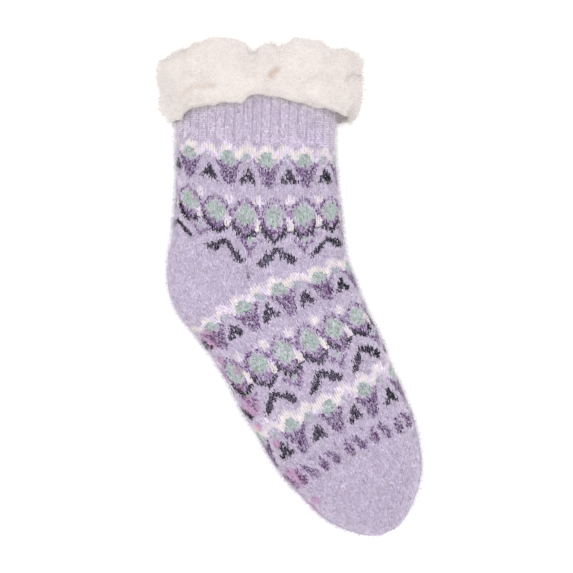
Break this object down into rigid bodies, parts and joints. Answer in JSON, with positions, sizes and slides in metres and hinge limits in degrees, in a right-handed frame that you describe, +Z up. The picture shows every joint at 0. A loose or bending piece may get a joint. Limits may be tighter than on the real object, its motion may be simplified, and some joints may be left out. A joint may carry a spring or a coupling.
{
  "type": "slipper sock",
  "caption": "Knitted slipper sock in a Nordic pattern with a turned-down fleece cuff and grip pads under the sole, lying on its side.",
  "frame": {"origin": "middle of the box's floor, on the surface that the sock lies on", "axes": "+X from the back of the heel to the instep, +Y up the leg to the cuff, +Z up from the floor through the sock lying on its side"},
  "size_m": [0.1894, 0.3544, 0.0599],
  "materials": {
    "knit": "soft fuzzy knit, lavender with plum, mint, cream and charcoal motifs",
    "fleece": "curly deep pile, off-white",
    "grip_silicone": "clear rosy silicone, satin gloss"
  },
  "bodies": {
    "root": {"fleece_cuff": "fleece", "grip_pad_large_01_over": "grip_silicone", "grip_pad_large_01_under": "grip_silicone", "grip_pad_large_02_over": "grip_silicone", "grip_pad_large_02_under": "grip_silicone", "grip_pad_large_03_over": "grip_silicone", "grip_pad_large_03_under": "grip_silicone", "grip_pad_large_04": "grip_silicone", "grip_pad_large_05": "grip_silicone", "grip_pad_large_06": "grip_silicone", "grip_pad_small_07_over": "grip_silicone", "grip_pad_small_07_under": "grip_silicone", "grip_pad_small_08_over": "grip_silicone", "grip_pad_small_08_under": "grip_silicone", "grip_pad_small_09_over": "grip_silicone", "grip_pad_small_09_under": "grip_silicone", "grip_pad_small_10_over": "grip_silicone", "grip_pad_small_10_under": "grip_silicone", "grip_pad_small_11_over": "grip_silicone", "grip_pad_small_11_under": "grip_silicone", "grip_pad_small_12_over": "grip_silicone", "grip_pad_small_12_under": "grip_silicone", "grip_pad_small_13": "grip_silicone", "grip_pad_small_14": "grip_silicone", "grip_pad_small_15": "grip_silicone", "knit_sock": "knit"}
  },
  "joints": []
}
